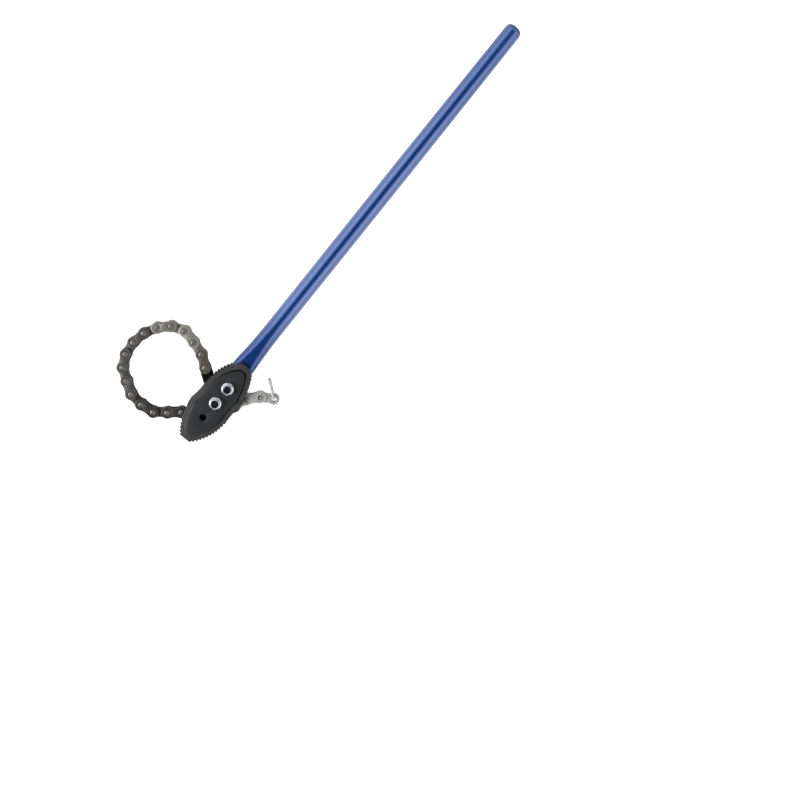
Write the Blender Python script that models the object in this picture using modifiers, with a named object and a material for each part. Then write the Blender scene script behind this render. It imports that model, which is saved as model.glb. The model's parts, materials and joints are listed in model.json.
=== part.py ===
"""Chain pipe wrench: a forged bar handle, two double-ended toothed jaws and a riveted chain.

Metres, +Z up. The wrench lies flat with its handle along +X and its chain looped on the +Y side.
The origin is on the pivot bolt's axis, at the outer face of the bolt's head, so z = 0 is the plane
that the bolt heads lie on.
"""

import cmath
import math

import bmesh
import bpy
from mathutils import Matrix, Vector

# Clearances
SEAT_GAP = 0.0003
HOLE_GAP = 0.0003
PIN_GAP = 0.0004
ANCHOR_SLOT_GAP = 0.001

# Handle
HANDLE_REACH = 0.858
BAR_DIAMETER = 0.0332
BAR_TIP_DIAMETER = 0.0308
BAR_TAPER_LENGTH = 0.310
TIP_DOME = 0.004
TIP_SHOULDER = 0.0065
HEAD_WIDTH = 0.0395
HEAD_THICKNESS = 0.022
HEAD_CORNER = 0.00775
HEAD_START = 0.086
FLARE_LENGTH = 0.085
FLATTENED_LENGTH = 0.125
NOSE_RADIUS = 0.0115
NOSE_TAPER = 0.036

# Jaws
JAW_REACH = 0.0864
JAW_TIP_HALF = 0.0118
JAW_TURN = math.radians(-2.0)
JAW_RIM = 0.008
JAW_EDGE_BEVEL = 0.001
PANEL_HEIGHT = 0.003
PANEL_INSET = 0.0095
PANEL_SLOPE = 0.002
PANEL_ROUNDING = 0.0045
BOLT_SPACING = 0.0345
LONG_TOOTH_PITCH = 0.0066
SHORT_TOOTH_PITCH = 0.0070
TOOTH_DEPTH = 0.0031
TOOTH_LAND = 0.0006
TOOTH_LEAN = 0.6
LONG_EDGE_TEETH = 11
SHORT_EDGE_TEETH = 4
LONG_EDGE_END = (-0.0194, -0.0384)
LONG_EDGE_BULGE = 0.0068
WAIST_END = (0.0197, -0.0380)
WAIST_HOLLOW = -0.0016
SHOULDER_END = (0.0352, -0.0363)
SHOULDER_BULGE = 0.0019
FLANK_END = (0.0615, -0.0277)
FLANK_BULGE = 0.0005
SHORT_EDGE_BULGE = 0.0016

# Jaw bolts and lock nuts
BOLT_RADIUS = 0.006
SPANNER_FLAT = 0.019
BOLT_HEAD_HEIGHT = 0.0075
BOLT_END_RECESS = 0.002
NUT_HEX_HEIGHT = 0.0085
NUT_COLLAR_HEIGHT = 0.0035
NUT_COLLAR_RADIUS = 0.0089
NUT_LIP = 0.0008
INSERT_RADIUS = 0.0076
INSERT_HEIGHT = 0.003

# Chain
PITCH = 0.0254
EYE_RADIUS = 0.01075
WAIST_HALF = 0.0085
CHAIN_PLATE = 0.003
INNER_HALF_GAP = 0.0028
PIN_RADIUS = 0.004
RIVET_RADIUS = 0.0049
RIVET_CROWN = 0.0036
RIVET_HEIGHT = 0.0014
BUSH_RADIUS = 0.0064
LINK_COUNT = 22
END_HOLE_RADIUS = 0.0042

# Anchor link
ANCHOR_LENGTH = 0.0651
ANCHOR_EYE_RADIUS = 0.0115
ANCHOR_END_RADIUS = 0.0105
ANCHOR_ANGLE = math.radians(55.0)
ANCHOR_SWING_DOWN = math.radians(15.0)

# Chain pin in the throat between the jaws, from the pivot: how far out and how far down
THROAT_REACH = 0.0304
THROAT_DROP = 0.0081

# Pull ring
RING_WIRE_RADIUS = 0.0024
RING_LENGTH = 0.0400
RING_HALF_HEIGHT = 0.0086
RING_BEND = 0.0034
RING_ANGLE = math.radians(111.0)

# Bend at each chain pin from the link before it, in whole degrees: round the loop, between the
# jaws, and out on the far side
CHAIN_BENDS = (-2, 17, 6, 32, 27, 17, 17, 16, 19, 29, 3, 25, 14, 31, 4, -14, 4, 22, 20, -2, -23, -17)
FIRST_ARM_LINKS = 9
THROAT_LINKS = 17

# Facets
FINE_STEPS = 24
PIN_STEPS = 10
CORNER_STEPS = 6
EYE_STEPS = 7
EYE_SWEEP = math.radians(112.0)
HEX_STEPS = 6

# Heights above the rest plane, worked out from the stack of parts at the jaws
JAW_HALF_GAP = HEAD_THICKNESS / 2 + SEAT_GAP
JAW_THICKNESS = JAW_RIM + PANEL_HEIGHT
MID_HEIGHT = BOLT_HEAD_HEIGHT + SEAT_GAP + JAW_THICKNESS + JAW_HALF_GAP
INNER_HALF = INNER_HALF_GAP + CHAIN_PLATE
OUTER_HALF_GAP = INNER_HALF + SEAT_GAP
OUTER_HALF = OUTER_HALF_GAP + CHAIN_PLATE
NUT_SEAT = JAW_HALF_GAP + JAW_THICKNESS + SEAT_GAP
NUT_HEIGHT = NUT_HEX_HEIGHT + NUT_COLLAR_HEIGHT

# Finishes: colour, roughness and metallic value
FINISHES = {
    "blue_paint": ((0.02, 0.09, 0.36), 0.25, 0.0),
    "jaw_steel": ((0.035, 0.036, 0.039), 0.5, 0.6),
    "zinc": ((0.78, 0.79, 0.82), 0.28, 1.0),
    "bolt_steel": ((0.02, 0.025, 0.05), 0.45, 0.7),
    "nylon": ((0.02, 0.04, 0.22), 0.5, 0.0),
    "anchor_black": ((0.01, 0.01, 0.012), 0.45, 0.3),
    "chain_steel": ((0.16, 0.15, 0.13), 0.42, 0.9),
    "bright_steel": ((0.55, 0.55, 0.54), 0.35, 0.9),
}


def clear_scene():
    """Remove whatever the file holds and return the collections for parts and cutters."""
    for obj in list(bpy.data.objects):
        bpy.data.objects.remove(obj, do_unlink=True)
    parts = bpy.data.collections.new("chain_pipe_wrench")
    cutters = bpy.data.collections.new("cutters")
    cutters.hide_render = True
    for collection in (parts, cutters):
        bpy.context.scene.collection.children.link(collection)
    return parts, cutters


def make_material(name):
    """Return a Principled material of the named finish."""
    colour, roughness, metallic = FINISHES[name]
    material = bpy.data.materials.new(name)
    material.use_nodes = True
    shader = material.node_tree.nodes["Principled BSDF"]
    shader.inputs["Base Color"].default_value = (*colour, 1.0)
    shader.inputs["Roughness"].default_value = roughness
    shader.inputs["Metallic"].default_value = metallic
    return material


PARTS, CUTTERS = clear_scene()
MATERIALS = {name: make_material(name) for name in FINISHES}


def evaluated_mesh(obj, name):
    """Return the object's evaluated mesh with loose caps welded and normals outwards."""
    graph = bpy.context.evaluated_depsgraph_get()
    mesh = bpy.data.meshes.new_from_object(obj.evaluated_get(graph))
    mesh.name = name
    bm = bmesh.new()
    bm.from_mesh(mesh)
    bmesh.ops.remove_doubles(bm, verts=bm.verts, dist=1e-6)
    bmesh.ops.recalc_face_normals(bm, faces=bm.faces)
    bm.to_mesh(mesh)
    bm.free()
    return mesh


def plate_mesh(name, outlines, bottom, top):
    """Extrude a flat outline, with any further outlines as holes, between two heights."""
    curve = bpy.data.curves.new(name, "CURVE")
    curve.dimensions = "2D"
    curve.fill_mode = "BOTH"
    curve.extrude = (top - bottom) / 2
    for outline in outlines:
        spline = curve.splines.new("POLY")
        spline.points.add(len(outline) - 1)
        for point, (x, y) in zip(spline.points, outline):
            point.co = (x, y, 0.0, 1.0)
        spline.use_cyclic_u = True
    obj = bpy.data.objects.new(name, curve)
    CUTTERS.objects.link(obj)
    mesh = evaluated_mesh(obj, name)
    bpy.data.objects.remove(obj)
    mesh.transform(Matrix.Translation((0.0, 0.0, (top + bottom) / 2)))
    return mesh


def turned_mesh(name, profile, steps=FINE_STEPS):
    """Turn a closed (radius, height) profile about Z with a Screw modifier."""
    mesh = bpy.data.meshes.new(name)
    count = len(profile)
    on_axis = profile[0][0] == 0.0 and profile[-1][0] == 0.0
    edges = [(i, i + 1) for i in range(count - 1)]
    if not on_axis:
        edges.append((count - 1, 0))
    mesh.from_pydata([(radius, 0.0, height) for radius, height in profile], edges, [])
    obj = bpy.data.objects.new(name, mesh)
    CUTTERS.objects.link(obj)
    screw = obj.modifiers.new("Turn", "SCREW")
    screw.steps = steps
    screw.render_steps = steps
    screw.use_merge_vertices = True
    screw.merge_threshold = 1e-5
    turned = evaluated_mesh(obj, name)
    bpy.data.objects.remove(obj)
    return turned


def cylinder_mesh(name, radius, bottom, top, steps=FINE_STEPS, turn=0.0):
    """Return a capped cylinder or prism that stands on Z."""
    mesh = bpy.data.meshes.new(name)
    bm = bmesh.new()
    place = Matrix.Translation((0.0, 0.0, (bottom + top) / 2)) @ Matrix.Rotation(turn, 4, "Z")
    bmesh.ops.create_cone(bm, cap_ends=True, segments=steps, radius1=radius, radius2=radius,
                          depth=top - bottom, matrix=place)
    bm.to_mesh(mesh)
    bm.free()
    return mesh


def lofted_mesh(name, rings):
    """Skin a row of closed rings that have equally many points, and cap both ends."""
    mesh = bpy.data.meshes.new(name)
    bm = bmesh.new()
    loops = []
    for ring in rings:
        verts = [bm.verts.new(point) for point in ring]
        pairs = zip(verts, verts[1:] + verts[:1])
        loops.append((verts, [bm.edges.new(pair) for pair in pairs]))
    for (_, near), (_, far) in zip(loops, loops[1:]):
        bmesh.ops.bridge_loops(bm, edges=near + far)
    bm.faces.new(loops[0][0])
    bm.faces.new(loops[-1][0])
    bmesh.ops.recalc_face_normals(bm, faces=bm.faces)
    bm.to_mesh(mesh)
    bm.free()
    return mesh


def boolean_mesh(name, base, others):
    """Apply a row of (mesh, operation) Booleans to a copy of base and return the result."""
    body = bpy.data.objects.new(name, base)
    CUTTERS.objects.link(body)
    helpers = []
    for mesh, operation in others:
        helper = bpy.data.objects.new(mesh.name + "_tool", mesh)
        helper.hide_render = True
        helper.display_type = "WIRE"
        CUTTERS.objects.link(helper)
        helpers.append(helper)
        modifier = body.modifiers.new(operation.title(), "BOOLEAN")
        modifier.operation = operation
        modifier.solver = "EXACT"
        modifier.object = helper
    result = evaluated_mesh(body, name)
    for obj in [body, *helpers]:
        bpy.data.objects.remove(obj)
    return result


def moved(mesh, x=0.0, y=0.0, z=0.0):
    """Return a copy of a mesh moved by x, y and z."""
    copy = mesh.copy()
    copy.transform(Matrix.Translation((x, y, z)))
    return copy


def add_part(name, mesh, finish, parent=None, location=(0.0, 0.0, 0.0), turn=0.0):
    """Add a named part, smooth on its round faces, placed by location and a turn about Z."""
    mesh.materials.clear()
    mesh.materials.append(MATERIALS[finish])
    mesh.shade_smooth()
    mesh.set_sharp_from_angle(angle=math.radians(30.0))
    obj = bpy.data.objects.new(name, mesh)
    PARTS.objects.link(obj)
    obj.parent = parent
    obj.location = location
    obj.rotation_euler = (0.0, 0.0, turn)
    return obj


def circle(radius, steps, centre=(0.0, 0.0)):
    """Return the points of a circle."""
    angles = [2 * math.pi * i / steps for i in range(steps)]
    return [(centre[0] + radius * math.cos(a), centre[1] + radius * math.sin(a)) for a in angles]


def arc(radius, start, end, steps, centre=(0.0, 0.0)):
    """Return the points of an arc from one angle to another, both ends included."""
    angles = [start + (end - start) * i / steps for i in range(steps + 1)]
    return [(centre[0] + radius * math.cos(a), centre[1] + radius * math.sin(a)) for a in angles]


def bowed(start, end, bulge, steps):
    """Return points from start up to, but not including, end, bowed to the right by bulge."""
    start, end = Vector(start), Vector(end)
    along = end - start
    outwards = Vector((along.y, -along.x)).normalized()
    shares = [i / steps for i in range(steps)]
    return [start + along * s + outwards * bulge * 4 * s * (1 - s) for s in shares]


def inset(points, distance):
    """Move each corner of an anticlockwise outline inwards along its mitre."""
    result = []
    for i, point in enumerate(points):
        before = (point - points[i - 1]).normalized()
        after = (points[(i + 1) % len(points)] - point).normalized()
        mitre = Vector((-before.y, before.x)) + Vector((-after.y, after.x))
        result.append(point + mitre.normalized() * distance * 2 / mitre.length)
    return result


def rounded(points, radius, least_turn=math.radians(20.0), steps=3):
    """Replace each sharp corner of an outline by a short arc."""
    result = []
    for i, point in enumerate(points):
        before = points[i - 1] - point
        after = points[(i + 1) % len(points)] - point
        turn = math.pi - before.angle(after)
        if turn < least_turn:
            result.append(point)
            continue
        reach = min(radius * math.tan(turn / 2), before.length * 0.45, after.length * 0.45)
        start, end = point + before.normalized() * reach, point + after.normalized() * reach
        for step in range(steps + 1):
            s = step / steps
            result.append(start * (1 - s) ** 2 + point * 2 * s * (1 - s) + end * s ** 2)
    return result


def ease(x, start, length):
    """Fall from 1 at start to 0 at start + length along a parabola, flat at its end."""
    share = min(max((x - start) / length, 0.0), 1.0)
    return (1.0 - share) ** 2


def bar_section(x, width, thickness, corner):
    """Return the ring of a rounded rectangle across X."""
    ring = []
    signs = ((1, 1), (-1, 1), (-1, -1), (1, -1))
    for quarter, (side, up) in enumerate(signs):
        for step in range(CORNER_STEPS):
            angle = (quarter + (step + 0.5) / CORNER_STEPS) * math.pi / 2
            y = side * (width / 2 - corner) + corner * math.cos(angle)
            z = up * (thickness / 2 - corner) + corner * math.sin(angle)
            ring.append((x, y, z))
    return ring


def round_section(x, diameter):
    """Return a round ring across X with the same points as bar_section."""
    return bar_section(x, diameter, diameter, diameter / 2)


def nose_outline():
    """Return the plan of the handle's head: a round nose that widens to the full bar."""
    shoulder = Vector((NOSE_TAPER, HEAD_WIDTH / 2))
    tangent = shoulder.angle(Vector((1, 0))) + math.acos(NOSE_RADIUS / shoulder.length)
    nose = arc(NOSE_RADIUS, tangent, 2 * math.pi - tangent, FINE_STEPS // 2)
    wide, far = 2 * HEAD_WIDTH, HANDLE_REACH + HEAD_WIDTH
    low_side = [(NOSE_TAPER, -HEAD_WIDTH / 2), (NOSE_TAPER + SEAT_GAP, -wide), (far, -wide)]
    high_side = [(far, wide), (NOSE_TAPER + SEAT_GAP, wide), (NOSE_TAPER, HEAD_WIDTH / 2)]
    return nose + low_side + high_side


def make_handle():
    """Forged bar: round and slightly tapered, flattened at the head, forked round the anchor."""
    stations = [-2 * NOSE_RADIUS, HEAD_START]
    stations += [HEAD_START + FLATTENED_LENGTH * i / 8 for i in range(1, 9)]
    rings = []
    for x in stations:
        wide = ease(x, HEAD_START, FLARE_LENGTH)
        flat = ease(x, HEAD_START, FLATTENED_LENGTH)
        width = BAR_DIAMETER + (HEAD_WIDTH - BAR_DIAMETER) * wide
        thickness = BAR_DIAMETER + (HEAD_THICKNESS - BAR_DIAMETER) * flat
        corner = BAR_DIAMETER / 2 + (HEAD_CORNER - BAR_DIAMETER / 2) * flat
        rings.append(bar_section(x, width, thickness, corner))
    rings.append(round_section(HANDLE_REACH - BAR_TAPER_LENGTH, BAR_DIAMETER))
    for share in (1.0, 0.97, 0.9, 0.75, 0.5, 0.25):
        drop = TIP_DOME * share ** 2 + TIP_SHOULDER * share ** 12
        rings.append(round_section(HANDLE_REACH - drop, BAR_TIP_DIAMETER * share))
    bar = lofted_mesh("bar", rings)
    plan = plate_mesh("head_plan", [nose_outline()], -HEAD_WIDTH, HEAD_WIDTH)
    cuts = [(plan, "INTERSECT"), (anchor_slot(), "DIFFERENCE")]
    for x, y in bolt_places():
        hole = cylinder_mesh("bolt_hole", BOLT_RADIUS + HOLE_GAP, -HEAD_WIDTH, HEAD_WIDTH)
        cuts.append((moved(hole, x, y), "DIFFERENCE"))
    mesh = boolean_mesh("handle", bar, cuts)
    return add_part("handle", mesh, "blue_paint", location=(0.0, 0.0, MID_HEIGHT))


def anchor_slot():
    """The fork in the handle's head: its floor lies along the anchor link at its lowest swing."""
    reach = 3 * HEAD_WIDTH
    floor = -ANCHOR_EYE_RADIUS - ANCHOR_SLOT_GAP
    outline = [(-reach, floor), (reach, floor), (reach, reach), (-reach, reach)]
    half = INNER_HALF + SEAT_GAP
    mesh = plate_mesh("anchor_slot", [outline], -half, half)
    mesh.transform(Matrix.Rotation(ANCHOR_ANGLE - ANCHOR_SWING_DOWN, 4, "Z"))
    return mesh


def bolt_places():
    """Return the plan places of the pivot bolt and of the second bolt."""
    line = Vector((BOLT_SPACING, 0.0))
    line.rotate(Matrix.Rotation(JAW_TURN, 2))
    return [(0.0, 0.0), (line.x, line.y)]


def jaw_corners():
    """Return the lower half of the jaw's outline as (corner, bulge to the next, steps)."""
    tip = (-JAW_REACH, -JAW_TIP_HALF)
    return [
        (tip, LONG_EDGE_BULGE, 10),
        (LONG_EDGE_END, WAIST_HOLLOW, 5),
        (WAIST_END, SHOULDER_BULGE, 3),
        (SHOULDER_END, FLANK_BULGE, 2),
        (FLANK_END, SHORT_EDGE_BULGE, 4),
        ((JAW_REACH, -JAW_TIP_HALF), 0.0, 1),
    ]


def jaw_outline(distance):
    """Return the whole outline, moved inwards by distance: one half and its half turn."""
    rows = jaw_corners()
    turned = [((-x, -y), bulge, steps) for (x, y), bulge, steps in rows]
    rows += turned
    corners = inset([Vector(corner) for corner, _, _ in rows], distance)
    points = []
    for i, (_, bulge, steps) in enumerate(rows):
        points += bowed(corners[i], corners[(i + 1) % len(corners)], bulge, steps)
    return points


def tooth_notches(start, end, bulge, count, pitch, from_start):
    """Return the outlines of the notches along one bowed edge, in anticlockwise order."""
    start, end = Vector(start), Vector(end)
    length = (end - start).length
    share = pitch / length
    first = 0.0 if from_start else 1.0 - count * share
    land = TOOTH_LAND / length / 2
    notches = []

    def on_edge(s, outwards=0.0):
        along = end - start
        normal = Vector((along.y, -along.x)).normalized()
        return start + along * s + normal * (bulge * 4 * s * (1 - s) + outwards)

    for i in range(count):
        low = first + i * share + land
        high = first + (i + 1) * share - land
        root = low + (high - low) * TOOTH_LEAN
        notches.append([on_edge(low), on_edge(low, TOOTH_DEPTH), on_edge(high, TOOTH_DEPTH),
                        on_edge(high), on_edge(root, -TOOTH_DEPTH)])
    return notches


def jaw_teeth():
    """Return one mesh of all the notches that are cut into a jaw."""
    corners = [Vector(corner) for corner, _, _ in jaw_corners()]
    notches = tooth_notches(corners[0], corners[1], LONG_EDGE_BULGE, LONG_EDGE_TEETH,
                            LONG_TOOTH_PITCH, True)
    notches += tooth_notches(corners[4], corners[5], SHORT_EDGE_BULGE, SHORT_EDGE_TEETH,
                             SHORT_TOOTH_PITCH, False)
    notches += [[-point for point in notch] for notch in notches]
    return plate_mesh("jaw_teeth", notches, -JAW_RIM, 2 * JAW_RIM)


def make_jaw_mesh():
    """Forged jaw, inner face at z = 0: bevelled rim, raised middle, three holes and teeth."""
    outline = jaw_outline(0.0)
    rim_low = [(x, y, 0.0) for x, y in outline]
    rim_edge = [(x, y, JAW_RIM - JAW_EDGE_BEVEL) for x, y in outline]
    rim_top = [(x, y, JAW_RIM) for x, y in inset(outline, JAW_EDGE_BEVEL)]
    rim = lofted_mesh("jaw_rim", [rim_low, rim_edge, rim_top])
    foot = rounded(jaw_outline(PANEL_INSET), PANEL_ROUNDING)
    crest = rounded(jaw_outline(PANEL_INSET + PANEL_SLOPE), PANEL_ROUNDING)
    panel_rings = [[(x, y, JAW_RIM / 2) for x, y in foot], [(x, y, JAW_RIM) for x, y in foot],
                   [(x, y, JAW_THICKNESS) for x, y in crest]]
    panel = lofted_mesh("jaw_panel", panel_rings)
    cuts = [(panel, "UNION"), (jaw_teeth(), "DIFFERENCE")]
    hole = cylinder_mesh("jaw_hole", BOLT_RADIUS + HOLE_GAP, -JAW_RIM, JAW_THICKNESS + JAW_RIM)
    cuts += [(moved(hole, x), "DIFFERENCE") for x in (-BOLT_SPACING, 0.0, BOLT_SPACING)]
    return boolean_mesh("jaw", rim, cuts)


def make_jaws():
    """Front and rear jaw: the same outline, with the raised middle facing out on each."""
    front = make_jaw_mesh()
    rear = front.copy()
    rear.transform(Matrix.Scale(-1.0, 4, (0.0, 0.0, 1.0)))
    rear.flip_normals()
    for name, mesh, side in (("jaw_front", front, 1), ("jaw_rear", rear, -1)):
        place = (0.0, 0.0, MID_HEIGHT + side * JAW_HALF_GAP)
        add_part(name, mesh, "jaw_steel", location=place, turn=JAW_TURN)


def make_fasteners():
    """Hexagon bolts from behind, each with a collared lock nut and its nylon insert."""
    hex_radius = SPANNER_FLAT / 2 / math.cos(math.pi / HEX_STEPS)
    head_top = -NUT_SEAT
    bolt_end = NUT_SEAT + NUT_HEIGHT - BOLT_END_RECESS
    head = cylinder_mesh("bolt_head", hex_radius, head_top - BOLT_HEAD_HEIGHT, head_top, HEX_STEPS)
    shank = cylinder_mesh("shank", BOLT_RADIUS, head_top - BOLT_HEAD_HEIGHT / 2, bolt_end)
    bolt = boolean_mesh("bolt", head, [(shank, "UNION")])
    collar_foot = NUT_SEAT + NUT_HEX_HEIGHT
    nut_top = NUT_SEAT + NUT_HEIGHT
    hexagon = cylinder_mesh("hexagon", hex_radius, NUT_SEAT, collar_foot, HEX_STEPS)
    collar = turned_mesh("collar", [
        (0.0, nut_top), (NUT_COLLAR_RADIUS - NUT_LIP, nut_top),
        (NUT_COLLAR_RADIUS, nut_top - NUT_LIP), (NUT_COLLAR_RADIUS, collar_foot - NUT_LIP),
        (0.0, collar_foot - NUT_LIP)])
    bore = cylinder_mesh("bore", BOLT_RADIUS + HOLE_GAP, 0.0, 2 * nut_top)
    groove_top = nut_top - NUT_LIP
    groove_foot = groove_top - INSERT_HEIGHT - 2 * SEAT_GAP
    groove = cylinder_mesh("groove", INSERT_RADIUS + SEAT_GAP, groove_foot, groove_top)
    nut = boolean_mesh("nut", hexagon, [(collar, "UNION"), (bore, "DIFFERENCE"),
                                        (groove, "DIFFERENCE")])
    insert_foot = groove_foot + SEAT_GAP
    insert = plate_mesh("insert", [circle(INSERT_RADIUS, FINE_STEPS),
                                   circle(BOLT_RADIUS + HOLE_GAP, FINE_STEPS)],
                        insert_foot, insert_foot + INSERT_HEIGHT)
    for name, (x, y) in zip(("pivot", "upper"), bolt_places()):
        place = (x, y, MID_HEIGHT)
        add_part(f"{name}_bolt", bolt.copy(), "bolt_steel", location=place)
        add_part(f"{name}_nut", nut.copy(), "zinc", location=place)
        add_part(f"{name}_nut_insert", insert.copy(), "nylon", location=place)


def link_outline():
    """Return a chain plate's outline, pins at x = 0 and PITCH: two round eyes and a waist."""
    far_eye = arc(EYE_RADIUS, -EYE_SWEEP, EYE_SWEEP, EYE_STEPS, (PITCH, 0.0))
    near_eye = arc(EYE_RADIUS, math.pi - EYE_SWEEP, math.pi + EYE_SWEEP, EYE_STEPS)
    return far_eye + [(PITCH / 2, WAIST_HALF)] + near_eye + [(PITCH / 2, -WAIST_HALF)]


def pin_profile():
    """Return a riveted pin's profile: a straight shank between two peened heads."""
    seat = OUTER_HALF + SEAT_GAP
    foot = -OUTER_HALF - RIVET_HEIGHT
    rooted = -OUTER_HALF_GAP - CHAIN_PLATE / 2
    return [
        (0.0, seat + RIVET_HEIGHT), (RIVET_CROWN, seat + RIVET_HEIGHT), (RIVET_RADIUS, seat),
        (PIN_RADIUS, seat), (PIN_RADIUS, rooted), (RIVET_RADIUS, rooted),
        (RIVET_CROWN, foot), (0.0, foot),
    ]


def make_link_meshes():
    """Return the four chain pieces: pin plate and cover plate, bush plate and side plate."""
    pin = turned_mesh("pin", pin_profile(), PIN_STEPS)
    ends = (0.0, PITCH)
    rear_outer = plate_mesh("pin_plate", [link_outline()], -OUTER_HALF, -OUTER_HALF_GAP)
    pin_plate = boolean_mesh("pin_plate", rear_outer, [(moved(pin, x), "UNION") for x in ends])
    pin_holes = [circle(PIN_RADIUS + PIN_GAP, PIN_STEPS, (x, 0.0)) for x in ends]
    cover = plate_mesh("cover_plate", [link_outline(), *pin_holes], OUTER_HALF_GAP, OUTER_HALF)
    rear_inner = plate_mesh("bush_plate", [link_outline()], -INNER_HALF, -INNER_HALF_GAP)
    bush = cylinder_mesh("bush", BUSH_RADIUS, -INNER_HALF_GAP - CHAIN_PLATE / 2,
                         INNER_HALF_GAP - SEAT_GAP, PIN_STEPS)
    bore = cylinder_mesh("bush_bore", PIN_RADIUS + PIN_GAP, -OUTER_HALF, OUTER_HALF, PIN_STEPS)
    steps = [(moved(bush, x), "UNION") for x in ends]
    steps += [(moved(bore, x), "DIFFERENCE") for x in ends]
    bush_plate = boolean_mesh("bush_plate", rear_inner, steps)
    side = plate_mesh("side_plate", [link_outline(), *pin_holes], INNER_HALF_GAP, INNER_HALF)
    return pin_plate, cover, bush_plate, side


def make_end_meshes():
    """Return the last link's two plates, whose far eyes have a plain hole for the pull ring."""
    holes = [circle(PIN_RADIUS + PIN_GAP, PIN_STEPS),
             circle(END_HOLE_RADIUS, PIN_STEPS, (PITCH, 0.0))]
    rear = plate_mesh("end_rear", [link_outline()], -INNER_HALF, -INNER_HALF_GAP)
    bush = cylinder_mesh("end_bush", BUSH_RADIUS, -INNER_HALF_GAP - CHAIN_PLATE / 2,
                         INNER_HALF_GAP - SEAT_GAP, PIN_STEPS)
    bore = cylinder_mesh("end_bore", PIN_RADIUS + PIN_GAP, -OUTER_HALF, OUTER_HALF, PIN_STEPS)
    end_bore = cylinder_mesh("ring_hole", END_HOLE_RADIUS, -OUTER_HALF, OUTER_HALF, PIN_STEPS)
    steps = [(bush, "UNION"), (moved(bush, PITCH), "UNION"), (bore, "DIFFERENCE"),
             (moved(end_bore, PITCH), "DIFFERENCE")]
    rear = boolean_mesh("end_rear", rear, steps)
    side = plate_mesh("end_side", [link_outline(), *holes], INNER_HALF_GAP, INNER_HALF)
    return rear, side


def make_anchor():
    """Anchor link: one thick plate from the pivot bolt to the first chain pin."""
    big, small = ANCHOR_EYE_RADIUS, ANCHOR_END_RADIUS
    lean = math.acos((big - small) / ANCHOR_LENGTH)
    near_eye = arc(big, lean, 2 * math.pi - lean, FINE_STEPS // 2)
    far_eye = arc(small, -lean, lean, FINE_STEPS // 2, (ANCHOR_LENGTH, 0.0))
    bolt_hole = circle(BOLT_RADIUS + HOLE_GAP, FINE_STEPS)
    pin_hole = circle(PIN_RADIUS + PIN_GAP, PIN_STEPS, (ANCHOR_LENGTH, 0.0))
    outlines = [near_eye + far_eye, bolt_hole, pin_hole]
    mesh = plate_mesh("anchor_link", outlines, -INNER_HALF, INNER_HALF)
    place = (0.0, 0.0, MID_HEIGHT)
    return add_part("anchor_link", mesh, "anchor_black", location=place, turn=ANCHOR_ANGLE)


def arm_vector(first, last):
    """Return the plan vector, as a complex number, from the pin before one link to another's end."""
    total = 0
    for number in range(first, last + 1):
        heading = ANCHOR_ANGLE + math.radians(sum(CHAIN_BENDS[:number]))
        total += cmath.rect(PITCH, heading)
    return total


def chain_bends():
    """Return each link's bend, with the loop turned as two arms that reach the throat's pin."""
    first = arm_vector(1, FIRST_ARM_LINKS)
    second = arm_vector(FIRST_ARM_LINKS + 1, THROAT_LINKS)
    span = complex(-THROAT_REACH, -THROAT_DROP) - cmath.rect(ANCHOR_LENGTH, ANCHOR_ANGLE)
    cosine = (abs(span) ** 2 + abs(first) ** 2 - abs(second) ** 2) / (2 * abs(span) * abs(first))
    lean = math.acos(min(max(cosine, -1.0), 1.0))
    first_turn = cmath.phase(cmath.rect(1.0, cmath.phase(span) - lean) / first)
    reached = first * cmath.rect(1.0, first_turn)
    second_turn = cmath.phase((span - reached) / second)
    bends = [math.radians(bend) for bend in CHAIN_BENDS[:LINK_COUNT]]
    bends[0] += first_turn
    bends[FIRST_ARM_LINKS] += second_turn - first_turn
    bends[THROAT_LINKS] -= second_turn
    return bends


def make_chain(anchor):
    """Hang the links on one another, each turned by its own bend at the pin that it shares."""
    pin_plate, cover, bush_plate, side = make_link_meshes()
    end_rear, end_side = make_end_meshes()
    parent, reach = anchor, ANCHOR_LENGTH
    for number, bend in enumerate(chain_bends(), start=1):
        label = f"chain_{number:02d}"
        if number % 2:
            pieces = (("pin_plate", pin_plate), ("cover_plate", cover))
        elif number < LINK_COUNT:
            pieces = (("bush_plate", bush_plate), ("side_plate", side))
        else:
            pieces = (("bush_plate", end_rear), ("side_plate", end_side))
        finish = "bright_steel" if number > LINK_COUNT - 2 else "chain_steel"
        (rear_name, rear_mesh), (front_name, front_mesh) = pieces
        rear = add_part(f"{label}_{rear_name}", rear_mesh.copy(), finish, parent,
                        (reach, 0.0, 0.0), bend)
        add_part(f"{label}_{front_name}", front_mesh.copy(), finish, rear)
        parent, reach = rear, PITCH
    return parent


def ring_path():
    """Return the wire's centre line: through the hole, over both plates and back outside."""
    near = END_HOLE_RADIUS - RING_WIRE_RADIUS - SEAT_GAP
    far = near + RING_LENGTH - 2 * RING_WIRE_RADIUS
    high, bend = RING_HALF_HEIGHT, RING_BEND
    corners = ((far - bend, high - bend, 0), (near + bend, high - bend, 1),
               (near + bend, bend - high, 2), (far - bend, bend - high, 3))
    points = []
    for x, z, quarter in corners:
        start = quarter * math.pi / 2
        points += arc(bend, start, start + math.pi / 2, 3, (x, z))
    return points


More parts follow.
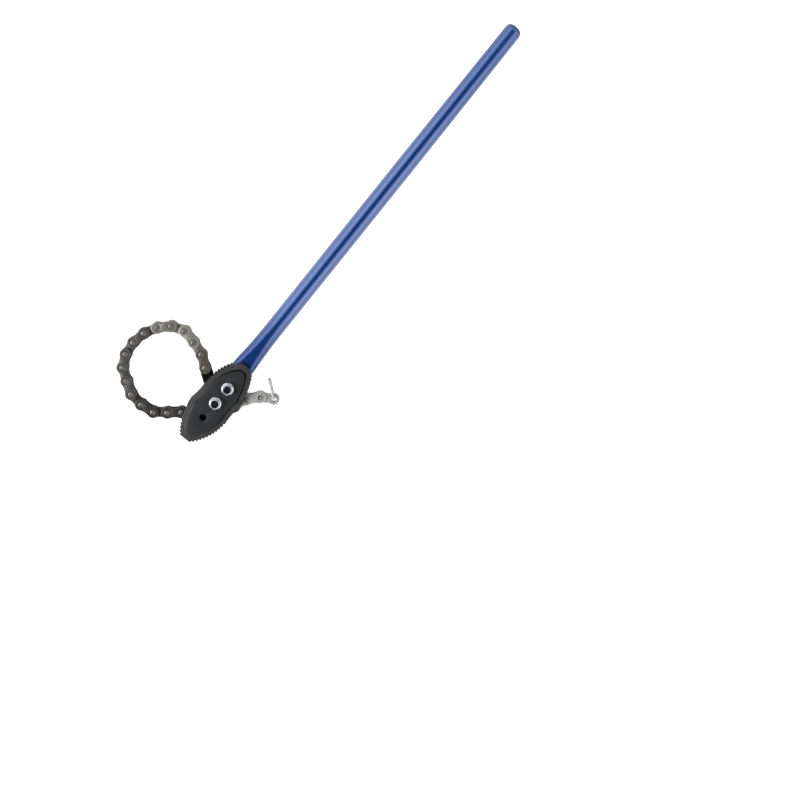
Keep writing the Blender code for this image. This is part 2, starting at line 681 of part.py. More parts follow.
def make_pull_ring(end_link):
    """Bright wire loop in the end link's hole, its origin on the hole's axis."""
    curve = bpy.data.curves.new("pull_ring", "CURVE")
    curve.dimensions = "3D"
    curve.bevel_depth = RING_WIRE_RADIUS
    curve.bevel_resolution = 2
    path = ring_path()
    spline = curve.splines.new("POLY")
    spline.points.add(len(path) - 1)
    for point, (x, z) in zip(spline.points, path):
        point.co = (x, 0.0, z, 1.0)
    spline.use_cyclic_u = True
    curve.materials.append(MATERIALS["bright_steel"])
    ring = bpy.data.objects.new("pull_ring", curve)
    PARTS.objects.link(ring)
    ring.parent = end_link
    ring.location = (PITCH, 0.0, 0.0)
    ring.rotation_euler = (0.0, 0.0, RING_ANGLE)


def main():
    """Build every part of the wrench."""
    make_handle()
    make_jaws()
    make_fasteners()
    anchor = make_anchor()
    make_pull_ring(make_chain(anchor))


main()
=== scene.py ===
"""Looks of the chain pipe wrench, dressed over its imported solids.

Every length is in metres, in the frame of the solids: +X along the handle, +Y towards the chain
loop, +Z from the bolt heads to the nuts.
"""

import json
import logging
import math
from dataclasses import dataclass, field
from enum import Enum

import bmesh
import bpy
from mathutils import Matrix, Vector


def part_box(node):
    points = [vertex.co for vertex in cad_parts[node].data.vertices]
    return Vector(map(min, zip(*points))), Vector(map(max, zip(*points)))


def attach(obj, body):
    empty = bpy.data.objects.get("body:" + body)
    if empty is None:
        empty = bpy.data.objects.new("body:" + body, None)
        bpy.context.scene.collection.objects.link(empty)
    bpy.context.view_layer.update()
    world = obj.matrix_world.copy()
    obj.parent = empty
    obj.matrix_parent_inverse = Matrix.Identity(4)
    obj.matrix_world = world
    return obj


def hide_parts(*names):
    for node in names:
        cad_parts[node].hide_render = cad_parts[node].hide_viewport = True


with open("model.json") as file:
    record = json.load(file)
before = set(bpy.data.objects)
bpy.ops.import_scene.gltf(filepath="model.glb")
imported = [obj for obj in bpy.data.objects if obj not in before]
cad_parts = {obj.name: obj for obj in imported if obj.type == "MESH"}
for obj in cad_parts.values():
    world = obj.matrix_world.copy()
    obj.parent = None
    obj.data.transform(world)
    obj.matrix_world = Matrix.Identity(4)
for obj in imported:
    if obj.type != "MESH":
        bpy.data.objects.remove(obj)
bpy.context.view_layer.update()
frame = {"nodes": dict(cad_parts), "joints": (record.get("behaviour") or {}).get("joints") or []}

LOG = logging.getLogger("chain_pipe_wrench")

Point = tuple[float, float, float]
Colour = tuple[float, float, float]
Band = tuple[float, float]  # where a smooth step starts and ends
Noise = tuple[float, ...]  # features per metre, octaves, weight of the fine octaves
Mesh = bpy.types.Mesh
Verts = list[bmesh.types.BMVert]
Edges = list[bmesh.types.BMEdge]

MIDDLE = 0.0301  # height of the wrench's middle plane
PITCH = 0.0254  # distance between a link's pins
MERGED = 1e-6  # points closer than this are one
FLAT = math.radians(0.5)  # faces that turn by less are joined
BEVELLED = math.radians(40)  # edges that turn by more are bevelled
SMOOTHED = math.radians(32)  # edges that turn by less are shaded smooth
CARVED = math.radians(28)  # the same on bolts and nuts
LEANS_FROM: Band = (0.15, 0.4)  # how squarely a bevel faces up, next to an upright face
LEANS_TO: Band = (0.85, 0.985)  # and next to a flat one


class Tone(Enum):
    """How a chain link's steel has aged."""

    DARK = "dark"
    OILED = "oil_and_shade_reach"
    WORN = "worn"
    BROWNED = "browned"
    PALE = "pale"
    BRIGHT = "bright"


class Signal:
    """One shader socket; arithmetic on it adds Math nodes to its graph."""

    def __init__(self, graph: "Graph", socket: bpy.types.NodeSocket) -> None:
        """Keep the graph and the output socket."""
        self.graph = graph
        self.socket = socket

    def _math(self, operation: str, first: "Signal | float", second: "Signal | float") -> "Signal":
        """Return the Math node's value for an operation on two operands."""
        return self.graph.node("ShaderNodeMath", {"operation": operation}, {0: first, 1: second})

    def __add__(self, other: "Signal | float") -> "Signal":
        """Return self + other."""
        return self._math("ADD", self, other)

    def __radd__(self, other: float) -> "Signal":
        """Return other + self."""
        return self._math("ADD", other, self)

    def __sub__(self, other: "Signal | float") -> "Signal":
        """Return self - other."""
        return self._math("SUBTRACT", self, other)

    def __rsub__(self, other: float) -> "Signal":
        """Return other - self."""
        return self._math("SUBTRACT", other, self)

    def __mul__(self, other: "Signal | float") -> "Signal":
        """Return self * other."""
        return self._math("MULTIPLY", self, other)


class Graph:
    """The node graph of a material or a world, round its one shader."""

    def __init__(self, owner: bpy.types.ID, shader: str = "Principled BSDF") -> None:
        """Open the owner's graph and find its shader.

        Args:
            owner: The material or world.
            shader: The name of the shader's node.
        """
        owner.use_nodes = True
        self.owner = owner
        self.tree = owner.node_tree
        self.shader = self.tree.nodes[shader]

    def node(self, kind: str, settings: dict | None = None, inputs: dict | None = None,
             output: int | str = 0) -> Signal:
        """Add a node.

        Args:
            kind: The node's type.
            settings: Attributes set first.
            inputs: Values or signals by socket name or number.
            output: The output socket to return.

        Returns:
            The output as a signal.
        """
        made = self.tree.nodes.new(kind)
        for key, value in (settings or {}).items():
            setattr(made, key, value)
        for key, value in (inputs or {}).items():
            if isinstance(value, Signal):
                self.tree.links.new(value.socket, made.inputs[key])
            else:
                made.inputs[key].default_value = value
        return Signal(self, made.outputs[output])

    def place(self, scale: Point = (1.0, 1.0, 1.0)) -> Signal:
        """Return object coordinates, stretched by scale."""
        seat = self.node("ShaderNodeTexCoord", output="Object")
        return self.node("ShaderNodeMapping", {}, {"Vector": seat, "Scale": scale})

    def noise(self, where: Signal, scale: float, detail: float = 4.0, rough: float = 0.5) -> Signal:
        """Return a noise value, about 0.5 on average, with the numbers of a Noise."""
        return self.node("ShaderNodeTexNoise", {"noise_dimensions": "3D"},
                         {"Vector": where, "Scale": scale, "Detail": detail, "Roughness": rough})

    def band(self, value: Signal, low: float, high: float) -> Signal:
        """Return 0 below low, 1 above high and a smooth step between."""
        return self.node("ShaderNodeMapRange", {"interpolation_type": "SMOOTHSTEP"},
                         {"Value": value, "From Min": low, "From Max": high})

    def blend(self, share: Signal | float, first: "Colour | Signal", second: "Colour | Signal"
              ) -> Signal:
        """Return a mix of two colours, by the second one's share."""
        ends = [c if isinstance(c, Signal) else (*c, 1.0) for c in (first, second)]
        return self.node("ShaderNodeMix", {"data_type": "RGBA"},
                         {0: share, 6: ends[0], 7: ends[1]}, 2)

    def size(self, value: Signal) -> Signal:
        """Return a value without its sign."""
        return self.node("ShaderNodeMath", {"operation": "ABSOLUTE"}, {0: value})

    def part(self, vector: Signal, axis: str) -> Signal:
        """Return one part of a vector."""
        return self.node("ShaderNodeSeparateXYZ", {}, {"Vector": vector}, axis)

    def facing(self, axis: str) -> Signal:
        """Return how far the surface faces along an axis, from -1 to 1."""
        return self.part(self.node("ShaderNodeTexCoord", output="Normal"), axis)

    def upright(self) -> Signal:
        """Return how squarely the surface faces up or down, from 0 to 1."""
        return self.size(self.facing("Z"))

    def pin_distance(self) -> Signal:
        """Measure in plan from the nearer pin of a link, by the link's UV map.

        Returns:
            The distance in metres.
        """
        plan = self.node("ShaderNodeTexCoord", output="UV")
        along = self.size(self.part(plan, "X") - PITCH / 2) - PITCH / 2
        across = self.part(plan, "Y")
        squared = along * along + across * across
        return self.node("ShaderNodeMath", {"operation": "SQRT"}, {0: squared})

    def edges(self) -> Signal:
        """Return 1 on faces that lean between the flat and the upright, such as bevels."""
        lean = self.upright()
        return self.band(lean, *LEANS_FROM) * (1.0 - self.band(lean, *LEANS_TO))

    def bump(self, height: Signal, depth: float) -> None:
        """Feed a height from 0 to 1, with its depth in metres, into the shader's normal."""
        lifted = self.node("ShaderNodeBump", {}, {"Strength": 1.0, "Distance": depth,
                                                  "Height": height}, "Normal")
        self.tree.links.new(lifted.socket, self.shader.inputs["Normal"])

    def feed(self, **sockets: "Signal | float | Colour") -> None:
        """Set or link the shader's sockets.

        Args:
            sockets: Values or signals by socket name, with an underscore for a space.
        """
        for key, value in sockets.items():
            socket = self.shader.inputs[key.replace("_", " ")]
            if isinstance(value, Signal):
                self.tree.links.new(value.socket, socket)
            elif isinstance(value, tuple):
                socket.default_value = (*value, 1.0)
            else:
                socket.default_value = value


@dataclass(frozen=True)
class BluePaint:
    """Glossy blue enamel with a fine flake under a clear top.

    The rim, thin and hand bands are places along the bar.
    """

    shade: Colour = (0.003, 0.088, 0.420)
    deep: Colour = (0.002, 0.078, 0.375)
    # painted shade: the darker blue painted on the bar by the jaws
    shaded: Colour = (0.002, 0.050, 0.270)
    scuffed: Colour = (0.014, 0.034, 0.115)
    rim: Band = (0.8512, 0.8528)
    thin: Band = (0.10, 0.24)
    hand: Band = (0.50, 0.84)
    cloud: Noise = (90.0, 3.0)
    cloud_stretch: Point = (0.35, 1.0, 1.0)
    clouded: Band = (0.3, 0.7)
    flake: Noise = (2600.0, 2.0)
    peel: Noise = (420.0, 2.0, 0.4)
    waver: Noise = (700.0,)
    waver_reach: float = 0.0012
    thin_coat: float = 0.35
    relief: float = 0.00006

    def make(self) -> bpy.types.Material:
        """Mix the enamel: thin by the jaws, where its colour is painted darker as painted shade,
        rubbed where it is held, scuffed on the end.

        Returns:
            The material.
        """
        graph = Graph(bpy.data.materials.new("blue_paint"))
        where = graph.place()
        cloud = graph.noise(graph.place(self.cloud_stretch), *self.cloud)
        flake = graph.noise(where, *self.flake)
        along = graph.part(where, "X")
        rim = graph.band(along + graph.noise(where, *self.waver) * self.waver_reach, *self.rim)
        coat = graph.blend(graph.band(cloud, *self.clouded), self.deep, self.shade)
        full = graph.band(along, *self.thin)
        # painted shade: by the jaws the coat turns to the shaded blue
        coat = graph.blend(full, self.shaded, coat)
        top = full * (1.0 - self.thin_coat) + self.thin_coat - graph.band(along, *self.hand) * 0.3
        graph.feed(Base_Color=graph.blend(rim, coat, self.scuffed),
                   Metallic=0.5, Roughness=0.27 + flake * 0.06 + rim * 0.2,
                   Specular_IOR_Level=1.0, Coat_Weight=top - rim * 0.25, Coat_IOR=2.1,
                   Coat_Roughness=0.14)
        peel = graph.noise(where, *self.peel)
        graph.bump(peel * 0.7 + flake * 0.3, self.relief)
        return graph.owner


@dataclass(frozen=True)
class ForgedOxide:
    """Dull dark oxide on forged steel, rubbed paler on its edges, with painted shade on its inner
    faces and on the slopes that face away from the key lamp, and a painted highlight on the slopes
    that face it.

    The inner, step and raised bands are distances from the middle plane. The slope lies between
    two bands of how squarely it faces up.
    """

    name: str = "jaw_steel"
    skin: Colour = (0.041, 0.042, 0.042)
    scale: Colour = (0.058, 0.058, 0.058)
    rubbed: Colour = (0.085, 0.084, 0.082)
    panel: Colour = (0.024, 0.0255, 0.0275)
    # painted shade: the near-black painted on the shaded slopes and the inner faces
    painted_shade_colour: Colour = (0.003, 0.003, 0.003)
    # faces nearer the middle than this, which the other jaw shades, get painted shade
    inner: Band = (0.0112, 0.0148)
    step: Band = (0.0193, 0.0195)
    raised: Band = (0.0198, 0.0210)
    slope_foot: Band = (0.40, 0.50)
    slope_head: Band = (0.80, 0.92)
    # painted shade: how far a slope faces away from the key lamp
    shaded_facing: Band = (-0.30, 0.35)
    # painted highlight: how squarely a slope faces the key lamp
    painted_light: Band = (0.15, 0.55)
    cloud: Noise = (55.0, 5.0, 0.6)
    clouded: Band = (0.35, 0.7)
    grain: Noise = (900.0, 4.0, 0.6)
    fleck: Noise = (260.0, 5.0, 0.7)
    flecked: Band = (0.56, 0.70)
    chip: Noise = (340.0, 2.0)
    chipped: Band = (0.62, 0.68)
    wear: Noise = (180.0, 3.0)
    worn: Band = (0.35, 0.6)
    metallic: float = 0.35
    roughness: float = 0.46
    shine: float = 0.5
    relief: float = 0.00022

    def make(self) -> bpy.types.Material:
        """Mix the oxide: painted shade on the raised middle's slopes that face away from the key
        lamp, a painted highlight on those that face it, and painted shade on the inner faces.

        Returns:
            The material.
        """
        graph = Graph(bpy.data.materials.new(self.name))
        where = graph.place()
        cloud = graph.noise(where, *self.cloud)
        grain = graph.noise(where, *self.grain)
        fleck = graph.band(graph.noise(where, *self.fleck), *self.flecked)
        skin = graph.blend(graph.band(cloud, *self.clouded), self.skin, self.scale)
        skin = graph.blend(fleck * 0.5, skin, self.scale)
        lean = graph.upright()
        lift = graph.size(graph.part(where, "Z") - MIDDLE)
        slope = (graph.band(lift, *self.step) * graph.band(lean, *self.slope_foot)
                 * (1.0 - graph.band(lean, *self.slope_head)))
        skin = graph.blend(graph.band(lift, *self.raised), skin, self.panel)
        wear = graph.band(graph.noise(where, *self.wear), *self.worn)
        worn = graph.edges() * (1.0 - slope) * wear
        # which way a slope faces: towards +X and -Y is away from the key lamp
        lying = graph.facing("X") - graph.facing("Y") * 0.25
        inner = 1.0 - graph.band(lift, *self.inner)
        # painted shade: slopes that face away from the key lamp, and the inner faces
        painted_shade = slope * graph.band(lying, *self.shaded_facing) + inner * 0.85
        chip = graph.band(graph.noise(where, *self.chip), *self.chipped)
        skin = graph.blend(chip * 0.5, skin, self.rubbed)
        # painted highlight: the slopes that face the key lamp are painted paler
        painted_light = slope * graph.band(0.0 - lying, *self.painted_light)
        skin = graph.blend(painted_light * 0.8, skin, self.rubbed)
        # paint the shade in near-black
        skin = graph.blend(painted_shade, skin, self.painted_shade_colour)
        # the painted shade is also made fully metallic, so that it stays dark
        graph.feed(Base_Color=graph.blend(worn * 0.8, skin, self.rubbed),
                   Metallic=self.metallic + painted_shade * (1.0 - self.metallic),
                   Specular_IOR_Level=self.shine,
                   Roughness=self.roughness + grain * 0.14 - worn * 0.08)
        graph.bump(cloud * 0.5 + grain * 0.35 + fleck * 0.15, self.relief)
        return graph.owner


@dataclass(frozen=True)
class ChainSteel:
    """Rolled link steel: warm grey, blotched, dark round its pins with oil and painted shade,
    rubbed on its edges.

    The band of oil and painted shade is a distance from the pin's axis.
    """

    tone: Tone
    body: Colour
    stain: Colour
    rubbed: Colour
    # oil and painted shade round the pins, where the plate meets the pin
    oil_and_shade: Colour = (0.030, 0.028, 0.025)
    roughness: float = 0.40
    oil_and_shade_reach: Band = (0.0054, 0.0070)
    waver: Noise = (400.0,)
    waver_reach: float = 0.0012
    blotch: Noise = (120.0, 5.0, 0.6)
    blotched: Band = (0.38, 0.66)
    grain: Noise = (1600.0, 3.0, 0.6)
    pit: Noise = (520.0, 3.0, 0.5)
    pitted: Band = (0.60, 0.72)
    wear: Noise = (300.0, 3.0)
    worn: Band = (0.30, 0.55)
    relief: float = 0.00010

    def make(self) -> bpy.types.Material:
        """Mix the steel.

        Returns:
            The material.
        """
        graph = Graph(bpy.data.materials.new(f"chain_{self.tone.value}"))
        where = graph.place()
        near = graph.pin_distance() + graph.noise(where, *self.waver) * self.waver_reach
        blotch = graph.band(graph.noise(where, *self.blotch), *self.blotched)
        grain = graph.noise(where, *self.grain)
        pitted = graph.band(graph.noise(where, *self.pit), *self.pitted)
        skin = graph.blend(blotch * 0.75, self.body, self.stain)
        skin = graph.blend(pitted * 0.5, skin, self.stain)
        # darker round each pin: partly oil, partly painted shade
        oil_and_shade = 1.0 - graph.band(near, *self.oil_and_shade_reach)
        skin = graph.blend(oil_and_shade * 0.8, skin, self.oil_and_shade)
        wear = graph.band(graph.noise(where, *self.wear), *self.worn)
        worn = graph.edges() * wear * (1.0 - oil_and_shade)
        graph.feed(Base_Color=graph.blend(worn, skin, self.rubbed), Metallic=0.82,
                   Roughness=self.roughness + grain * 0.10 + blotch * 0.06 - worn * 0.08)
        graph.bump(grain * 0.5 + blotch * 0.5 - pitted * 0.4, self.relief)
        return graph.owner


@dataclass(frozen=True)
class PlatedMetal:
    """Bright plate or drawn wire: a pale metal with a fine haze."""

    name: str
    colour: Colour
    shadow: Colour
    roughness: float
    metallic: float = 1.0
    haze: Noise = (700.0, 4.0, 0.6)
    patch: Noise = (150.0, 3.0)
    patched: Band = (0.35, 0.7)
    relief: float = 0.00004

    def make(self) -> bpy.types.Material:
        """Mix the metal.

        Returns:
            The material.
        """
        graph = Graph(bpy.data.materials.new(self.name))
        where = graph.place()
        haze = graph.noise(where, *self.haze)
        patch = graph.band(graph.noise(where, *self.patch), *self.patched)
        graph.feed(Base_Color=graph.blend(patch * 0.6 + haze * 0.3, self.colour, self.shadow),
                   Metallic=self.metallic, Roughness=self.roughness + haze * 0.10)
        graph.bump(haze, self.relief)
        return graph.owner


class Paintbox:
    """Every finish of the wrench, made once."""

    def __init__(self) -> None:
        """Make the materials."""
        self.paint = BluePaint().make()
        self.jaw = ForgedOxide().make()
        self.anchor = ForgedOxide("anchor_black", (0.003, 0.003, 0.003), (0.005, 0.005, 0.005),
                                  (0.014, 0.014, 0.015), inner=(-0.0100, -0.0064),
                                  roughness=0.50, shine=0.15).make()
        self.zinc = PlatedMetal("zinc", (0.86, 0.87, 0.90), (0.62, 0.64, 0.69), 0.20).make()
        self.bolt = PlatedMetal("bolt_steel", (0.008, 0.010, 0.028), (0.004, 0.005, 0.014), 0.42,
                                0.5).make()
        self.nylon = PlatedMetal("nylon", (0.005, 0.007, 0.030), (0.003, 0.005, 0.018), 0.45,
                                 0.0).make()
        self.wire = PlatedMetal("ring_wire", (0.66, 0.66, 0.655), (0.54, 0.54, 0.54), 0.46).make()
        self.pin = PlatedMetal("pin_steel", (0.265, 0.254, 0.233), (0.17, 0.162, 0.147),
                               0.42).make()
        steels = (
            ChainSteel(Tone.DARK, (0.078, 0.076, 0.072), (0.044, 0.043, 0.040),
                       (0.200, 0.194, 0.184)),
            ChainSteel(Tone.OILED, (0.140, 0.134, 0.123), (0.080, 0.076, 0.070),
                       (0.300, 0.289, 0.270)),
            ChainSteel(Tone.WORN, (0.330, 0.318, 0.296), (0.200, 0.192, 0.176),
                       (0.520, 0.505, 0.480)),
            ChainSteel(Tone.BROWNED, (0.187, 0.164, 0.147), (0.101, 0.086, 0.075),
                       (0.330, 0.300, 0.270)),
            ChainSteel(Tone.PALE, (0.420, 0.408, 0.384), (0.290, 0.280, 0.262),
                       (0.600, 0.590, 0.570)),
            ChainSteel(Tone.BRIGHT, (0.770, 0.765, 0.755), (0.620, 0.615, 0.605),
                       (0.880, 0.875, 0.865), (0.620, 0.615, 0.605), 0.36),
        )
        self.steel = {steel.tone: steel.make() for steel in steels}


def pick(items: list, kind: type) -> list:
    """Return the items of one type."""
    return [item for item in items if isinstance(item, kind)]


class Form:
    """A mesh under construction, made with Blender's own mesh operators."""

    def __init__(self) -> None:
        """Start with an empty mesh."""
        self.bm = bmesh.new()

    def lathe(self, profile: list[tuple[float, float]], steps: int, centre: Point = (0, 0, 0),
              material: int = 0) -> None:
        """Turn a (radius, height) profile about a vertical axis.

        Args:
            profile: The profile, which may start and end on the axis.
            steps: Facets in a full turn.
            centre: A point on the axis.
            material: The faces' material number.
        """
        verts = [self.bm.verts.new((centre[0] + r, centre[1], centre[2] + z)) for r, z in profile]
        closed = profile[0][0] > 0 and profile[-1][0] > 0
        pairs = list(zip(verts, verts[1:])) + ([(verts[-1], verts[0])] if closed else [])
        edges = [self.bm.edges.new(pair) for pair in pairs]
        known = set(self.bm.faces)
        bmesh.ops.spin(self.bm, geom=verts + edges, cent=centre, axis=(0, 0, 1), dvec=(0, 0, 0),
                       angle=2 * math.pi, steps=steps, use_merge=True, use_duplicate=False)
        for face in self.bm.faces:
            if face not in known:
                face.material_index = material

    def slab(self, loops: list[Edges], low: float, high: float) -> None:
        """Fill flat loops, the inner ones as holes, and raise them into a slab.

        Args:
            loops: Edge loops at height 0.
            low: The slab's lower face.
            high: Its upper face.
        """
        edges = [edge for loop in loops for edge in loop]
        filled = bmesh.ops.triangle_fill(self.bm, use_beauty=True, use_dissolve=False, edges=edges,
                                         normal=(0, 0, 1))
        faces = pick(filled["geom"], bmesh.types.BMFace)
        flat = {vert for face in faces for vert in face.verts}
        raised = bmesh.ops.extrude_face_region(self.bm, geom=faces, use_keep_orig=True)
        upper = pick(raised["geom"], bmesh.types.BMVert)
        bmesh.ops.translate(self.bm, verts=upper, vec=(0, 0, high))
        bmesh.ops.translate(self.bm, verts=list(flat), vec=(0, 0, low))

    def ease(self, width: float) -> None:
        """Bevel every sharp edge.

        Args:
            width: The bevel's width.
        """
        bmesh.ops.recalc_face_normals(self.bm, faces=self.bm.faces)
        sharp = [edge for edge in self.bm.edges
                 if len(edge.link_faces) == 2 and edge.calc_face_angle() > BEVELLED]
        bmesh.ops.bevel(self.bm, geom=sharp, offset=width, offset_type="OFFSET", affect="EDGES",
                        segments=2, profile=0.5, clamp_overlap=True, material=-1)

    def lay_map(self) -> None:
        """Write each corner's place in plan into the UV map, in metres."""
        layer = self.bm.loops.layers.uv.verify()
        for face in self.bm.faces:
            for corner in face.loops:
                corner[layer].uv = corner.vert.co.xy

    def weld(self) -> None:
        """Merge doubled points and turn every face outwards."""
        bmesh.ops.remove_doubles(self.bm, verts=self.bm.verts, dist=MERGED)
        bmesh.ops.recalc_face_normals(self.bm, faces=self.bm.faces)

    def mesh(self, name: str, matrix: Matrix | None = None) -> Mesh:
        """Return the form as a mesh.

        Args:
            name: The mesh's name.
            matrix: Where to place it.

        Returns:
            The finished mesh, smooth except at sharp edges.
        """
        self.weld()
        mesh = bpy.data.meshes.new(name)
        self.bm.to_mesh(mesh)
        if matrix is not None:
            mesh.transform(matrix)
        mesh.shade_smooth()
        mesh.set_sharp_from_angle(angle=SMOOTHED)
        return mesh


def show(name: str, mesh: Mesh, finishes: list[bpy.types.Material],
         body: str, nodes: tuple[str, ...]) -> None:
    """Add a piece that rides on a body and stands for solids.

    Args:
        name: The piece's name.
        mesh: Its mesh, already in place.
        finishes: Its materials, in the order of its material numbers.
        body: The body that carries it.
        nodes: The solids that it stands for.
    """
    for finish in finishes:
        mesh.materials.append(finish)
    piece = bpy.data.objects.new(name, mesh)
    bpy.context.scene.collection.objects.link(piece)
    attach(piece, body)
    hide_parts(*nodes)
    LOG.info("%s: %d faces", name, len(mesh.polygons))


def eased_copy(node: str, width: float) -> Mesh:
    """Return a solid's shape with its flats joined and its sharp edges rounded.

    Args:
        node: The solid.
        width: The rounding's width.

    Returns:
        The new mesh.
    """
    form = Form()
    form.bm.from_mesh(frame["nodes"][node].data)
    bmesh.ops.remove_doubles(form.bm, verts=form.bm.verts, dist=MERGED)
    bmesh.ops.dissolve_limit(form.bm, angle_limit=FLAT, verts=form.bm.verts, edges=form.bm.edges,
                             use_dissolve_boundaries=False)
    form.ease(width)
    bmesh.ops.triangulate(form.bm, faces=[f for f in form.bm.faces if len(f.verts) > 4])
    return form.mesh(f"{node}_shape")


@dataclass
class Handle:
    """The forged bar, turned round and fitted into the jaws."""

    reach: float = 0.858
    diameter: float = 0.0332
    tip_diameter: float = 0.0308
    taper: float = 0.310
    dome: float = 0.004
    shoulder: float = 0.0065
    shoulder_power: int = 12
    end_rings: tuple[float, ...] = (1.0, 0.985, 0.96, 0.92, 0.86, 0.76, 0.62, 0.45, 0.30)
    head_width: float = 0.0395
    head_thickness: float = 0.022
    head_corner: float = 0.00775
    head_start: float = 0.086
    flare: float = 0.085
    flattened: float = 0.125
    flare_steps: int = 24
    seam: float = 0.062
    edge: float = 0.0006
    sides: int = 96

    def build(self, box: Paintbox) -> None:
        """Sweep the bar from the seam to its domed end, and join the solid's head to it.

        Args:
            box: The finishes.
        """
        form = Form()
        stations = [self.head_start + self.flattened * step / self.flare_steps
                    for step in range(self.flare_steps + 1)]
        ring = bmesh.ops.create_circle(form.bm, cap_ends=False, segments=self.sides, radius=1.0)
        verts = ring["verts"]
        self._shape(verts, *self._section(self.seam))
        bmesh.ops.contextual_create(form.bm, geom=self._rim(verts))
        for x in [*stations, self.reach - self.taper]:
            verts = self._extend(form, verts)
            self._shape(verts, *self._section(x))
        for share in self.end_rings:
            verts = self._extend(form, verts)
            drop = self.dome * share ** 2 + self.shoulder * share ** self.shoulder_power
            radius = self.tip_diameter / 2 * share
            self._shape(verts, self.reach - drop, 2 * radius, 2 * radius, radius)
        bmesh.ops.contextual_create(form.bm, geom=self._rim(verts))
        form.bm.from_mesh(self._head())
        show("handle_bar", form.mesh("handle_bar"), [box.paint], "wrench",
             ("handle",))

    def _head(self) -> Mesh:
        """Cut the solid's forked head off at the seam, which the jaws hide.

        Returns:
            The head, closed at the seam.
        """
        head = Form()
        head.bm.from_mesh(eased_copy("handle", self.edge))
        bmesh.ops.bisect_plane(head.bm, geom=head.bm.verts[:] + head.bm.edges[:] + head.bm.faces[:],
                               plane_co=(self.seam, 0, 0), plane_no=(1, 0, 0), clear_outer=True)
        cut = [edge for edge in head.bm.edges if edge.is_boundary]
        bmesh.ops.contextual_create(head.bm, geom=cut)
        return head.mesh("handle_head")

    @staticmethod
    def _rim(verts: Verts) -> Edges:
        """Find the edges that join a ring's points.

        Args:
            verts: The ring's points.

        Returns:
            The edges, each once.
        """
        ring = set(verts)
        found = [e for v in verts for e in v.link_edges if e.other_vert(v) in ring]
        return list(dict.fromkeys(found))

    def _extend(self, form: Form, verts: Verts) -> Verts:
        """Extrude a ring.

        Args:
            form: The ring's form.
            verts: The ring's points.

        Returns:
            The new ring's points, in the same order.
        """
        made =bmesh.ops.extrude_edge_only(form.bm, edges=self._rim(verts))["geom"]
        fresh = set(pick(made, bmesh.types.BMVert))
        follow = []
        for vert in verts:
            follow += [e.other_vert(vert) for e in vert.link_edges if e.other_vert(vert) in fresh]
        return follow

    def _section(self, x: float) -> tuple[float, float, float, float]:
        """Work out the bar's section, whose sides are fully round clear of the head.

        Args:
            x: The station along the bar.

        Returns:
            The station, width, thickness and corner radius.
        """
        wide =(1.0 - min(max((x - self.head_start) / self.flare, 0.0), 1.0)) ** 2
        flat = (1.0 - min(max((x - self.head_start) / self.flattened, 0.0), 1.0)) ** 2
        width = self.diameter + (self.head_width - self.diameter) * wide
        thickness = self.diameter + (self.head_thickness - self.diameter) * flat
        corner = thickness / 2 if x >= self.head_start else self.head_corner
        return x, width, thickness, corner

    def _shape(self, verts: Verts, x: float, width: float, thickness: float, corner: float) -> None:
        """Move a ring's points onto a rounded rectangle across X.

        Args:
            verts: The ring's points.
            x: The station along the bar.
            width: The rectangle's size along Y.
            thickness: Its size along Z.
            corner: Its corner radius.
        """
        for number, vert in enumerate(verts):
            angle = 2 * math.pi * (number + 0.5) / self.sides
            side, up = math.copysign(1, math.cos(angle)), math.copysign(1, math.sin(angle))
            y = side * max(width / 2 - corner, 0.0) + corner * math.cos(angle)
            z = up * max(thickness / 2 - corner, 0.0) + corner * math.sin(angle)
            vert.co = (x, y, MIDDLE + z)


@dataclass
class Jaws:
    """The two toothed jaw plates."""

    edge: float = 0.0003

    def build(self, box: Paintbox) -> None:
        """Dress the jaws.

        Args:
            box: The finishes.
        """
        for node in ("jaw_front", "jaw_rear"):
            mesh = eased_copy(node, self.edge)
            show(f"{node}_plate", mesh, [box.jaw], "wrench", (node,))


